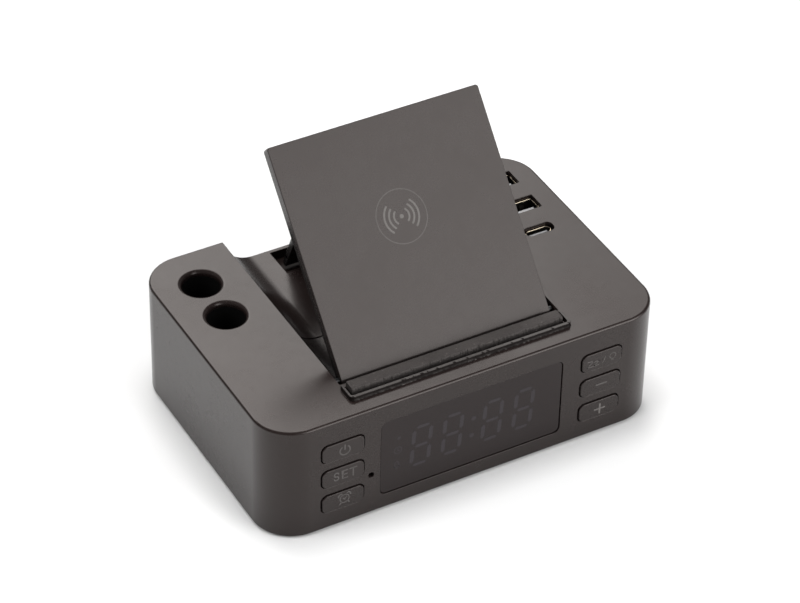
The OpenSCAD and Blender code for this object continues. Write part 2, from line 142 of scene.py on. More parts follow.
def mix_colour(tree, fac, a, b, blend="MIX"):
    n = add(tree, "ShaderNodeMix", data_type="RGBA", blend_type=blend)
    for socket, v in ((n.inputs[0], fac), (n.inputs[6], a), (n.inputs[7], b)):
        if isinstance(v, (int, float)):
            put(socket, v)
        elif isinstance(v, tuple):
            put(socket, (*v, 1.0))
        else:
            link(tree, v, socket)
    return n.outputs[2]


def noise_tex(tree, vec, scale, detail=2.0, rough=0.5, distortion=0.0):
    n = add(tree, "ShaderNodeTexNoise")
    put(n.inputs["Scale"], scale)
    put(n.inputs["Detail"], detail)
    put(n.inputs["Roughness"], rough)
    put(n.inputs["Distortion"], distortion)
    link(tree, vec, n.inputs["Vector"])
    return n.outputs["Fac"]


def voronoi(tree, vec, scale, feature="F1"):
    n = add(tree, "ShaderNodeTexVoronoi", feature=feature)
    put(n.inputs["Scale"], scale)
    link(tree, vec, n.inputs["Vector"])
    return n.outputs["Distance"]


def stretch(tree, vec, scale):
    n = add(tree, "ShaderNodeMapping")
    put(n.inputs["Scale"], scale)
    link(tree, vec, n.inputs["Vector"])
    return n.outputs["Vector"]


def bumps(tree, shader, layers):
    """Stack of (height, strength, distance in metres), each on top of the last."""
    normal = None
    for height, strength, distance in layers:
        b = add(tree, "ShaderNodeBump")
        put(b.inputs["Strength"], strength)
        put(b.inputs["Distance"], distance)
        link(tree, height, b.inputs["Height"])
        if normal is not None:
            link(tree, normal, b.inputs["Normal"])
        normal = b.outputs["Normal"]
    link(tree, normal, shader.inputs["Normal"])


def start(name):
    m = bpy.data.materials.new(name)
    m.use_nodes = True
    t = m.node_tree
    t.nodes.clear()
    out = add(t, "ShaderNodeOutputMaterial")
    p = add(t, "ShaderNodeBsdfPrincipled")
    link(t, p.outputs["BSDF"], out.inputs["Surface"])
    coord = add(t, "ShaderNodeTexCoord").outputs["Object"]
    return m, t, p, coord


def shade(c, k):
    return tuple(min(1.0, x * k) for x in c)


WARM = (1.0, 0.930, 0.895, 1.0)


# ------------------------------------------------------------------ materials
def plastic(name, base, rough, grain=0.05, mottle=0.10, ior=1.41, specks=0.0, smudge=0.03, matt=None):
    """Moulded plastic with a fine eroded grain, slow mottling and a satin sheen.

    matt is a box, (lo, hi) in metres, where the tool surface was left dull."""
    m, t, p, co = start(name)
    slow = noise_tex(t, co, 34.0, 3.0, 0.55)
    mid = noise_tex(t, co, 260.0, 3.0, 0.6)
    fine = noise_tex(t, co, 2900.0, 2.0, 0.6)
    pit = voronoi(t, co, 4300.0)
    tone = ramp(t, slow, [(0.3, shade(base, 1 - mottle)), (0.7, shade(base, 1 + mottle))])
    tone = mix_colour(t, map_range(t, fine, 0.42, 0.72, 0.0, 0.30), tone, shade(base, 1.55))
    if specks:
        dust = voronoi(t, co, 330.0)
        spot = map_range(t, dust, 0.035, 0.075, specks, 0.0)
        tone = mix_colour(t, spot, tone, shade(base, 6.0))
    link(t, tone, p.inputs["Base Color"])
    r = maths(t, "ADD", map_range(t, fine, 0.3, 0.7, -0.02, 0.02), map_range(t, slow, 0.3, 0.7, rough - smudge, rough + smudge))
    r = maths(t, "ADD", r, map_range(t, mid, 0.3, 0.7, -0.015, 0.015))
    put(p.inputs["IOR"], ior)
    if matt:
        axes = add(t, "ShaderNodeSeparateXYZ")
        link(t, co, axes.inputs[0])
        inside = None
        for k in range(3):
            near = map_range(t, axes.outputs[k], matt[0][k], matt[0][k] + 0.0003, 0.0, 1.0)
            far = map_range(t, axes.outputs[k], matt[1][k] - 0.0003, matt[1][k], 1.0, 0.0)
            both = maths(t, "MULTIPLY", near, far)
            inside = both if inside is None else maths(t, "MULTIPLY", inside, both)
        r = maths(t, "ADD", r, map_range(t, inside, 0.0, 1.0, 0.0, 0.20))
        link(t, map_range(t, inside, 0.0, 1.0, ior, 1.20), p.inputs["IOR"])
    link(t, r, p.inputs["Roughness"])
    put(p.inputs["Specular Tint"], WARM)
    bumps(t, p, [(mid, grain * 0.35, 0.00006), (fine, grain, 0.00003), (pit, grain * 0.6, 0.00002)])
    return m


def rubber(name, base, rough=0.72, grain=0.5, specks=0.6, ior=1.33):
    """Open, slightly furry rubber with pores and caught lint."""
    m, t, p, co = start(name)
    slow = noise_tex(t, co, 70.0, 3.0, 0.6)
    pore = voronoi(t, co, 1900.0)
    fine = noise_tex(t, co, 3600.0, 3.0, 0.65)
    lint = voronoi(t, stretch(t, co, (1.0, 1.6, 1.3)), 380.0)
    tone = ramp(t, slow, [(0.3, shade(base, 0.82)), (0.7, shade(base, 1.2))])
    tone = mix_colour(t, map_range(t, fine, 0.45, 0.75, 0.0, 0.6), tone, shade(base, 2.1))
    tone = mix_colour(t, map_range(t, lint, 0.06, 0.12, specks, 0.0), tone, shade(base, 6.5))
    crumb = voronoi(t, stretch(t, co, (1.0, 1.2, 1.0)), 1150.0)
    tone = mix_colour(t, map_range(t, crumb, 0.10, 0.22, specks * 0.6, 0.0), tone, shade(base, 3.2))
    link(t, tone, p.inputs["Base Color"])
    link(t, map_range(t, fine, 0.25, 0.75, rough - 0.1, rough + 0.1), p.inputs["Roughness"])
    put(p.inputs["IOR"], ior)
    put(p.inputs["Specular Tint"], WARM)
    bumps(t, p, [(pore, grain * 0.8, 0.00009), (fine, grain, 0.00007)])
    return m


def metal(name, base, rough, brush=(1.0, 1.0, 12.0), stain=0.25):
    """Stamped or turned metal with fine brushing and a little tarnish."""
    m, t, p, co = start(name)
    lines = noise_tex(t, stretch(t, co, brush), 900.0, 3.0, 0.6)
    cloud = noise_tex(t, co, 240.0, 3.0, 0.6)
    tone = ramp(t, cloud, [(0.3, shade(base, 1 - stain)), (0.7, base)])
    tone = mix_colour(t, map_range(t, lines, 0.35, 0.65, 0.0, 0.35), tone, shade(base, 1.18))
    link(t, tone, p.inputs["Base Color"])
    put(p.inputs["Metallic"], 1.0)
    link(t, map_range(t, lines, 0.3, 0.7, rough - 0.06, rough + 0.08), p.inputs["Roughness"])
    bumps(t, p, [(lines, 0.12, 0.00003)])
    return m


def ink(name, base, rough=0.45):
    """Printed or filled mark with a slightly worn, uneven film."""
    m, t, p, co = start(name)
    wear = noise_tex(t, co, 1500.0, 3.0, 0.65)
    slow = noise_tex(t, co, 180.0, 2.0, 0.5)
    tone = ramp(t, wear, [(0.3, shade(base, 0.72)), (0.62, base)])
    tone = mix_colour(t, map_range(t, slow, 0.3, 0.7, 0.0, 0.25), tone, shade(base, 0.8))
    link(t, tone, p.inputs["Base Color"])
    link(t, map_range(t, wear, 0.3, 0.7, rough - 0.05, rough + 0.06), p.inputs["Roughness"])
    put(p.inputs["IOR"], 1.46)
    put(p.inputs["Specular Tint"], WARM)
    bumps(t, p, [(wear, 0.08, 0.00002)])
    return m


def board(name, base):
    """Circuit board with solder mask, faint tracks and pads."""
    m, t, p, co = start(name)
    grid = add(t, "ShaderNodeTexBrick")
    put(grid.inputs["Scale"], 260.0)
    put(grid.inputs["Mortar Size"], 0.035)
    put(grid.inputs["Color1"], (*shade(base, 1.0), 1))
    put(grid.inputs["Color2"], (*shade(base, 1.35), 1))
    put(grid.inputs["Mortar"], (*shade(base, 2.0), 1))
    link(t, co, grid.inputs["Vector"])
    pads = map_range(t, voronoi(t, co, 420.0), 0.10, 0.14, 1.0, 0.0)
    tone = mix_colour(t, maths(t, "MULTIPLY", pads, 0.8), grid.outputs["Color"], (0.55, 0.40, 0.16))
    link(t, tone, p.inputs["Base Color"])
    link(t, map_range(t, noise_tex(t, co, 300.0), 0.3, 0.7, 0.28, 0.42), p.inputs["Roughness"])
    bumps(t, p, [(grid.outputs["Fac"], 0.2, 0.00003)])
    return m


def windings(name, base):
    """Flat coil of enamelled wire, ridged in rings about its own centre."""
    m, t, p, co = start(name)
    shift = add(t, "ShaderNodeMapping")
    put(shift.inputs["Location"], (0.0, 0.00435, -0.0681))
    link(t, co, shift.inputs["Vector"])
    ring = add(t, "ShaderNodeTexWave", wave_type="RINGS", rings_direction="SPHERICAL")
    put(ring.inputs["Scale"], 320.0)
    link(t, shift.outputs["Vector"], ring.inputs["Vector"])
    link(t, ramp(t, ring.outputs["Fac"], [(0.2, shade(base, 0.45)), (0.7, base)]), p.inputs["Base Color"])
    put(p.inputs["Metallic"], 0.9)
    link(t, map_range(t, noise_tex(t, co, 800.0), 0.3, 0.7, 0.25, 0.4), p.inputs["Roughness"])
    bumps(t, p, [(ring.outputs["Fac"], 0.5, 0.0001)])
    return m


BLACK = (0.0102, 0.0070, 0.0065)
M = {
    "housing": plastic("housing_plastic_look", BLACK, 0.25, matt=((-0.0222, 0.0333, 0.027), (0.0222, 0.0460, 0.0324))),
    "plate": plastic("plate_plastic_look", (0.0125, 0.0100, 0.0095), 0.28, grain=0.06),
    "plate_back": plastic("plate_back_look", (0.0085, 0.0078, 0.0076), 0.26),
    "cover": plastic("bottom_cover_look", (0.0110, 0.0102, 0.0100), 0.42, grain=0.16),
    # painted shade: the recess liner is darker than the housing to stand in for the shade under the raised plate
    "liner": plastic("recess_liner_look", (0.0070, 0.0050, 0.0047), 0.27),
    "button": plastic("button_plastic_look", (0.0098, 0.0069, 0.0065), 0.27),
    "lens": plastic("lens_look", (0.0060, 0.0032, 0.0035), 0.18, grain=0.015, mottle=0.06, ior=1.37, smudge=0.015),
    "rail": plastic("rail_plastic_look", (0.0048, 0.0037, 0.0035), 0.22, grain=0.35, mottle=0.3, specks=0.35, smudge=0.06),
    "pad": rubber("rest_pad_look", (0.0225, 0.0200, 0.0192), 0.58, grain=0.9, specks=0.55, ior=1.4),
    "foot": rubber("foot_rubber_look", (0.014, 0.0135, 0.013), 0.8, grain=0.35, specks=0.2),
    "tube": plastic("pen_tube_look", (0.0035, 0.0034, 0.0034), 0.5, grain=0.05, ior=1.3),
    "brace": plastic("brace_plastic_look", (0.0060, 0.0055, 0.0054), 0.24),
    "steel": metal("pin_steel_look", (0.10, 0.10, 0.103), 0.34),
    "screw": metal("screw_zinc_look", (0.42, 0.42, 0.43), 0.35),
    "black_screw": metal("screw_black_look", (0.05, 0.05, 0.052), 0.4),
    "shell": metal("port_shell_look", (0.80, 0.69, 0.52), 0.25, brush=(1, 1, 0.1)),
    # painted shade: a dark copy of the shell metal for faces deep inside the socket, where the shadow falls
    "shell_painted_shade": metal("port_painted_shade_look", (0.050, 0.046, 0.042), 0.42, brush=(1, 1, 0.1)),
    "gold": metal("contact_gold_look", (0.86, 0.62, 0.28), 0.22),
    "tongue": plastic("port_tongue_look", (0.24, 0.24, 0.245), 0.5, mottle=0.08),
    "tongue_dark": plastic("inlet_tongue_look", (0.02, 0.02, 0.02), 0.45),
    "board": board("board_look", (0.012, 0.085, 0.038)),
    "chip": plastic("chip_look", (0.014, 0.014, 0.015), 0.55),
    "white": plastic("white_part_look", (0.62, 0.61, 0.58), 0.55, mottle=0.05),
    "cell": metal("cell_steel_look", (0.66, 0.66, 0.67), 0.22, brush=(8, 1, 1)),
    "copper": windings("coil_look", (0.72, 0.34, 0.16)),
    "ferrite": plastic("ferrite_look", (0.035, 0.035, 0.037), 0.6, grain=0.3),
    "sensor": plastic("sensor_look", (0.02, 0.02, 0.024), 0.2, grain=0.02),
    "segment": ink("segment_look", (0.0086, 0.0062, 0.0098), 0.2),
    "legend": ink("legend_look", (0.062, 0.057, 0.0555), 0.45),
    "legend_faint": ink("legend_faint_look", (0.058, 0.053, 0.051), 0.45),
    "legend_clear": ink("legend_clear_look", (0.098, 0.090, 0.086), 0.45),
    "pictogram": ink("pictogram_look", (0.088, 0.084, 0.080), 0.46),
    "pictogram_ring": ink("pictogram_ring_look", (0.058, 0.054, 0.052), 0.46),
}


# ------------------------------------------------------------------ CAD nodes
def dress(node, look, bevel=0.0, segments=2, angle=40.0):
    """Material for a CAD node and, where asked, a small moulded edge radius in millimetres."""
    o = NODE[node]
    if not o.material_slots:
        o.data.materials.append(None)
    for s in o.material_slots:
        s.material = M[look]
    if bevel:
        w = o.modifiers.new("weld", "WELD")
        w.merge_threshold = 2e-6
        d = o.modifiers.new("flats", "DECIMATE")
        d.decimate_type = "DISSOLVE"
        d.angle_limit = math.radians(0.4)
        b = o.modifiers.new("edges", "BEVEL")
        b.width = bevel * MM
        b.segments = segments
        b.limit_method = "ANGLE"
        b.angle_limit = math.radians(angle)
        b.use_clamp_overlap = False
        b.miter_outer = "MITER_ARC"
        n = o.modifiers.new("normals", "WEIGHTED_NORMAL")
        n.weight = 80
        n.keep_sharp = False


dress("upper_housing", "housing", 0.16)
dress("bottom_cover", "cover", 0.15)
dress("housing_screws", "screw")
dress("rubber_feet", "foot", 0.35, 3)
# the liner carries painted shade for the shadow under the plate
dress("cable_cover", "liner")
dress("display_lens", "lens", 0.14)
for b in ("power", "set", "alarm", "light", "minus", "plus"):
    dress(b + "_button", "button", 0.30, 3)
dress("light_sensor", "sensor")
dress("plate_front_panel", "plate", 0.22)
dress("plate_back_cover", "plate_back", 0.18)
dress("plate_hinge_pins", "steel")
dress("brace_lower_link", "brace", 0.2)
dress("brace_upper_link", "brace", 0.2)
for n in ("brace_lower_pin", "brace_knee_pins", "brace_upper_pin"):
    dress(n, "steel", 0.12)
for n in ("pen_tube_1", "pen_tube_2"):
    dress(n, "tube")
for n in ("display_pcb", "main_pcb", "usb_pcb", "coil_pcb"):
    dress(n, "board")
for n in ("display_pcb_screws", "main_pcb_screws", "usb_pcb_screws"):
    dress(n, "screw")
for n in ("tact_switches", "controller_chips", "buzzer", "cell_holder", "power_inductors"):
    dress(n, "chip")
dress("display_module", "white")
dress("digit_segments", "segment")
dress("backup_cell", "cell")
dress("charging_coil", "copper")
dress("ferrite_sheet", "ferrite")


# ------------------------------------------------------------------ mesh helpers
def piece(name, bm, look, body, smooth=30.0):
    """Turns a bmesh in metres into a piece that rides on a body."""
    bmesh.ops.recalc_face_normals(bm, faces=bm.faces[:])
    me = bpy.data.meshes.new(name)
    bm.to_mesh(me)
    bm.free()
    looks = look if isinstance(look, (list, tuple)) else [look]
    for l in looks:
        me.materials.append(M[l])
    if smooth:
        for p in me.polygons:
            p.use_smooth = True
        me.set_sharp_from_angle(angle=math.radians(smooth))
    o = bpy.data.objects.new(name, me)
    scene.collection.objects.link(o)
    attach(o, body)
    return o


def ribbon(bm, pts, width, h0, h1, at, closed=False):
    """Raised stroke along 2-D points. at(a, b, h) gives a place in metres from millimetres."""
    pts = [Vector(p) for p in pts]
    n = len(pts)
    secs = []
    for i, p in enumerate(pts):
        before = pts[i - 1] if (closed or i > 0) else p
        after = pts[(i + 1) % n] if (closed or i < n - 1) else p
        t = (after - before).normalized()
        side = Vector((-t.y, t.x))
        k = 1.0
        if closed or 0 < i < n - 1:
            a = (p - before).normalized()
            k = max(0.5, abs(Vector((-a.y, a.x)).dot(side)))
        secs.append((p, side, width / 2 / k))
    if not closed:
        head = (pts[0] - pts[1]).normalized()
        tail = (pts[-1] - pts[-2]).normalized()
        r = width / 2
        turns = [math.radians(x) for x in (22, 44, 64, 80)]
        secs = [(pts[0] + head * r * math.sin(x), secs[0][1], r * math.cos(x)) for x in reversed(turns)] + secs
        secs += [(pts[-1] + tail * r * math.sin(x), secs[-1][1], r * math.cos(x)) for x in turns]
    rings = []
    for c, side, half in secs:
        l, q = c + side * half, c - side * half
        rings.append([bm.verts.new(at(v.x, v.y, h)) for v, h in ((l, h0), (l, h1), (q, h1), (q, h0))])
    m = len(rings)
    for i in range(m if closed else m - 1):
        a, b = rings[i], rings[(i + 1) % m]
        for j in range(4):
            bm.faces.new((a[j], a[(j + 1) % 4], b[(j + 1) % 4], b[j]))
    if not closed:
        bm.faces.new(rings[0])
        bm.faces.new(rings[-1][::-1])


def prism(bm, pts, h0, h1, at):
    low = [bm.verts.new(at(x, y, h0)) for x, y in pts]
    top = [bm.verts.new(at(x, y, h1)) for x, y in pts]
    bm.faces.new(low[::-1])
    bm.faces.new(top)
    for i in range(len(pts)):
        j = (i + 1) % len(pts)
        bm.faces.new((low[i], low[j], top[j], top[i]))


def arc(cx, cy, r, a0, a1, n=24):
    return [(cx + r * math.cos(math.radians(a0 + (a1 - a0) * i / n)), cy + r * math.sin(math.radians(a0 + (a1 - a0) * i / n))) for i in range(n + 1)]


def disc_pts(cx, cy, r, n=28):
    return [(cx + r * math.cos(2 * math.pi * i / n), cy + r * math.sin(2 * math.pi * i / n)) for i in range(n)]


def rr_loop(w, h, r, k=6):
    """Closed rounded rectangle, counter-clockwise, 4 * (k + 1) points."""
    r = max(r, 0.02)
    out = []
    for cx, cy, a in ((w / 2 - r, h / 2 - r, 0), (-w / 2 + r, h / 2 - r, 90), (-w / 2 + r, -h / 2 + r, 180), (w / 2 - r, -h / 2 + r, 270)):
        out += arc(cx, cy, r, a, a + 90, k)
    return out


def loft(bm, loops, close_first=True, close_last=True):
    """Skin over loops of equal length, each a list of places in metres."""
    rows = [[bm.verts.new(p) for p in l] for l in loops]
    n = len(rows[0])
    for a, b in zip(rows, rows[1:]):
        for i in range(n):
            j = (i + 1) % n
            bm.faces.new((a[i], a[j], b[j], b[i]))
    if close_first:
        bm.faces.new(rows[0][::-1])
    if close_last:
        bm.faces.new(rows[-1])


def block(bm, lo, hi, at, edge=0.0, segments=2):
    """Box between two corners in millimetres, with rounded edges."""
    made = bmesh.ops.create_cube(bm, size=1.0)["verts"]
    for v in made:
        v.co = Vector([lo[i] + (v.co[i] + 0.5) * (hi[i] - lo[i]) for i in range(3)])
    if edge:
        edges = list({e for v in made for e in v.link_edges})
        got = bmesh.ops.bevel(bm, geom=edges, offset=edge, segments=segments, profile=0.5, affect="EDGES")
        made = list({v for f in got["faces"] for v in f.verts} | {v for v in made if v.is_valid})
    for v in made:
        v.co = at(*v.co)


# ------------------------------------------------------------------ marks on the front
FRONT = 47.45          # cap faces, in front of the middle
LENS_FACE = 46.65
BTN_Z = (30.35, 20.35, 10.35)


def on_cap(sx, row, rise=0.0):
    cx, cz = (-44.6 if sx < 0 else 46.3), BTN_Z[row] - 0.15 + rise
    return lambda a, b, h: Vector((cx + a, -FRONT - h, cz + b)) * MM


H0, H1 = -0.06, 0.035

bm = bmesh.new()
at = on_cap(-1, 0, 0.05)
ribbon(bm, arc(0, -0.1, 1.72, 128, 412, 44), 0.42, H0, H1, at)
ribbon(bm, [(0, 0.25), (0, 1.95)], 0.42, H0, H1, at)
piece("legend_power", bm, "legend", "power_btn")

bm = bmesh.new()
at = on_cap(-1, 1, 0.37)
s_top = arc(-2.85, 0.72, 0.74, 15, 270, 20)
s_low = arc(-2.85, -0.76, 0.74, 90, -165, 20)
ribbon(bm, s_top + s_low[1:], 0.44, H0, H1, at)
ribbon(bm, [(0.95, 1.46), (-0.75, 1.46), (-0.75, -1.5), (0.95, -1.5)], 0.44, H0, H1, at)
ribbon(bm, [(-0.6, 0.02), (0.75, 0.02)], 0.42, H0, H1, at)
ribbon(bm, [(1.75, 1.46), (4.05, 1.46)], 0.44, H0, H1, at)
ribbon(bm, [(2.9, 1.3), (2.9, -1.6)], 0.44, H0, H1, at)
piece("legend_set", bm, "legend", "set_btn")

bm = bmesh.new()
at = on_cap(-1, 2, 0.51)
ribbon(bm, disc_pts(0, -0.05, 1.55, 40), 0.36, H0, H1, at, closed=True)
ribbon(bm, [(-0.55, 0.25), (-0.02, -0.35), (0.72, 0.5)], 0.34, H0, H1, at)
for s in (-1, 1):
    ribbon(bm, [(s * 0.95, 1.98), (s * 1.35, 2.12), (s * 1.8, 1.85), (s * 2.1, 1.42), (s * 2.05, 1.0)], 0.46, H0, H1, at)
    ribbon(bm, [(s * 1.15, -1.35), (s * 1.62, -1.95)], 0.42, H0, H1, at)
piece("legend_alarm", bm, "legend", "alarm_btn")

bm = bmesh.new()
at = on_cap(1, 0)
for cx, cz, w, h in ((-4.55, -0.3, 2.0, 2.2), (-2.3, -0.55, 1.5, 1.6)):
    ribbon(bm, [(cx - w / 2, cz + h / 2), (cx + w / 2, cz + h / 2)], 0.4, H0, H1, at)
    ribbon(bm, [(cx + w / 2, cz + h / 2), (cx - w / 2, cz - h / 2)], 0.36, H0, H1, at)
    ribbon(bm, [(cx - w / 2, cz - h / 2), (cx + w / 2, cz - h / 2)], 0.4, H0, H1, at)
ribbon(bm, [(-0.1, -1.3), (0.9, 1.1)], 0.28, H0, H1, at)
ribbon(bm, arc(3.5, 0.40, 1.08, -58, 238, 36), 0.32, H0, H1, at)
ribbon(bm, [(3.0, -0.85), (4.0, -0.85)], 0.3, H0, H1, at)
ribbon(bm, [(3.15, -1.3), (3.85, -1.3)], 0.3, H0, H1, at)
piece("legend_light", bm, "legend_faint", "light_btn")

bm = bmesh.new()
ribbon(bm, [(-1.85, 0), (1.75, 0)], 0.58, H0, H1, on_cap(1, 1, 0.24))
piece("legend_minus", bm, "legend", "minus_btn")

bm = bmesh.new()
at = on_cap(1, 2)
prism(bm, [(-2.05, -0.32), (-0.32, -0.32), (-0.32, -2.05), (0.32, -2.05), (0.32, -0.32), (2.05, -0.32),
           (2.05, 0.32), (0.32, 0.32), (0.32, 2.05), (-0.32, 2.05), (-0.32, 0.32), (-2.05, 0.32)], H0, H1, at)
piece("legend_plus", bm, "legend_clear", "plus_btn")


# ------------------------------------------------------------------ unlit digits on the lens
def on_lens(a, b, h):
    return Vector((a, -LENS_FACE - h, b)) * MM


def lean(pts, cx, cz, k=0.07):
    return [(cx + x + k * z, cz + z) for x, z in pts]


def bar_h(z, l, t):
    return [(-l / 2, z), (-l / 2 + t / 2, z + t / 2), (l / 2 - t / 2, z + t / 2), (l / 2, z), (l / 2 - t / 2, z - t / 2), (-l / 2 + t / 2, z - t / 2)]


def bar_v(x, z, l, t):
    return [(x, z - l / 2), (x - t / 2, z - l / 2 + t / 2), (x - t / 2, z + l / 2 - t / 2), (x, z + l / 2), (x + t / 2, z + l / 2 - t / 2), (x + t / 2, z - l / 2 + t / 2)]


bm = bmesh.new()
dw, dh, dt, dz = 5.9, 14.8, 1.4, 20.8
for cx in (-17.7, -6.8, 7.3, 18.4):
    for z in (-dh / 2, 0, dh / 2):
        prism(bm, lean(bar_h(z, dw - 1.3, dt * 0.8), cx, dz), -0.03, 0.012, on_lens)
    for x in (-dw / 2, dw / 2):
        for z in (-dh / 4, dh / 4):
            prism(bm, lean(bar_v(x, z, dh / 2 - 1.9, dt), cx, dz), -0.03, 0.012, on_lens)
for z in (-3.6, 3.1):
    prism(bm, disc_pts(0.4 + 0.07 * z, dz + z, 0.85), -0.03, 0.012, on_lens)
piece("unlit_digits", bm, "segment", "root")

bm = bmesh.new()
ix = -26.2
prism(bm, disc_pts(ix + 0.6, 26.6, 0.62), -0.03, 0.012, on_lens)
ribbon(bm, arc(ix + 0.3, 21.8, 1.3, 0, 360, 30)[:-1], 0.35, -0.03, 0.012, on_lens, closed=True)
ribbon(bm, [(ix + 0.3, 22.5), (ix + 0.3, 21.7), (ix + 0.9, 21.4)], 0.3, -0.03, 0.012, on_lens)
ribbon(bm, [(ix - 1.0, 15.2), (ix + 1.1, 15.2)], 0.36, -0.03, 0.012, on_lens)
ribbon(bm, [(ix - 0.8, 15.3), (ix - 0.55, 16.9), (ix, 17.5), (ix + 0.55, 16.9), (ix + 0.85, 15.3)], 0.36, -0.03, 0.012, on_lens)
prism(bm, disc_pts(ix, 14.5, 0.36), -0.03, 0.012, on_lens)
piece("unlit_icons", bm, "segment", "root")


# ------------------------------------------------------------------ charging mark on the plate
TILT = math.radians(48.8)
HINGE = Vector((0.0, -28.55, 40.075))
ALONG = Vector((0.0, math.cos(TILT), math.sin(TILT)))
OUT = Vector((0.0, -math.sin(TILT), math.cos(TILT)))


def on_plate(a, s, h):
    return (HINGE + Vector((a, 0, 0)) + ALONG * s + OUT * (2.025 + h)) * MM


px, ps = -1.3, 41.6
bm = bmesh.new()
prism(bm, disc_pts(px, ps, 0.7), -0.05, 0.03, on_plate)
for r in (2.57, 4.2, 5.8):
    ribbon(bm, arc(px, ps, r, -45, 45, 20), 0.62, -0.05, 0.03, on_plate)
    ribbon(bm, arc(px, ps, r, 135, 225, 20), 0.62, -0.05, 0.03, on_plate)
piece("charging_mark", bm, "pictogram", "plate")
bm = bmesh.new()
ribbon(bm, disc_pts(px, ps, 8.5, 96), 0.32, -0.05, 0.03, on_plate, closed=True)
piece("charging_mark_ring", bm, "pictogram_ring", "plate")


# ------------------------------------------------------------------ rubber strip of the phone rest
def rest_strip():
    x0, x1, y0, y1, z0, z1 = -37.4, 36.4, -38.55, -34.25, 41.7, 44.6
    nx = 440
    prof = [(0, 0), (0, 0.25), (0, 0.5), (0.0, 0.70), (0.02, 0.84), (0.06, 0.94)]
    prof += [(0.11 + 0.80 * i / 15, 1.0) for i in range(16)]
    prof += [(0.95, 0.97), (0.985, 0.9), (1, 0.7), (1, 0.35), (1, 0)]
    bm = bmesh.new()
    loops = []
    for i in range(nx + 1):
        u = i / nx
        x = x0 + (x1 - x0) * u
        end = min(u, 1 - u) * (x1 - x0)
        pull = 0.0 if end > 0.35 else (0.35 - end) * 0.5
        bite = max(0.0, noise.noise((x * 0.55, 3.1, 0)) * 0.5 + noise.noise((x * 1.9, 7.7, 0)) * 0.45)
        row = []
        for py, pz in prof:
            y = y0 + (y1 - y0) * py
            z = z0 + (z1 - z0) * pz
            front = max(0.0, 1.0 - py / 0.17) * pz
            top = max(0.0, pz - 0.85) / 0.15
            rag = bite * 0.9 + noise.noise((x * 3.7, 7.7, z * 2.0)) * 0.14 + noise.noise((x * 8.5, 2.2, z * 5.0)) * 0.10
            y += front * rag + 0.02
            z -= front * (0.10 + 0.45 * bite + noise.noise((x * 2.6, 1.9, 4.4)) * 0.16)
            z += top * (noise.noise((x * 0.9, y * 0.9, 0)) * 0.03 + noise.noise((x * 4.0, y * 4.0, 2.0)) * 0.04)
            if py > 0.02:
                y = min(y, y1)
            z = max(z0, z - pull * pz)
            row.append(Vector((x, max(y, y0 - 0.1), z)) * MM)
        loops.append(row)
    loft(bm, loops)
    return bm


def rest_curb():
    """U-shaped curb round the strip: flat lip, upright outer face and an uneven foot."""
    levels = [(-38.5, 37.25, -40.02, 0.8, 42.1), (-38.5, 37.25, -40.02, 0.8, 43.5), (-38.57, 37.32, -40.1, 0.85, 43.6),
              (-39.18, 38.03, -41.0, 1.32, 43.6), (-39.28, 38.13, -41.12, 1.38, 43.5), (-39.3, 38.15, -41.15, 1.4, 43.1),
              (-39.3, 38.15, -41.18, 1.4, 42.6), (-39.36, 38.2, -41.32, 1.45, 42.22), (-39.36, 38.2, -41.32, 1.45, 42.1)]
    rear = -34.4
    rows = []
    for k, (xl, xr, yf, r, z) in enumerate(levels):
        pts = [(xl, rear + (yf + r - rear) * i / 18) for i in range(18)]
        pts += arc(xl + r, yf + r, r, 180, 270, 10)
        pts += [(xl + r + (xr - xl - 2 * r) * i / 320, yf) for i in range(1, 320)]
        pts += arc(xr - r, yf + r, r, 270, 360, 10)
        pts += [(xr, yf + r + (rear - yf - r) * i / 18) for i in range(1, 19)]
        row = []
        for x, y in pts:
            rough = (0, 0.01, 0.015, 0.02, 0.02, 0.03, 0.05, 0.16, 0.18)[k]
            wob = noise.noise((x * 1.1, y * 1.1, k * 0.35)) * 0.6 + noise.noise((x * 4.3, y * 4.3, k * 1.7)) * 0.5
            out = Vector((x + 0.35, (y + 36.0) * 6.0)).normalized()
            lift = 0.0 if k in (0, 8) else wob * rough * 0.45
            row.append(Vector((x + out.x * wob * rough, max(y + out.y * wob * rough, -41.6) if y < rear - 0.01 else y, min(z + lift, 43.64))) * MM)
        rows.append(row)
    bm = bmesh.new()
    loft(bm, [list(c) for c in zip(*rows)])
    return bm


curb = piece("rest_curb", rest_curb(), "rail", "root", smooth=38)
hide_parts("phone_rest_rail")
strip = piece("rest_strip", rest_strip(), "pad", "root", smooth=50)
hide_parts("phone_rest_pad")


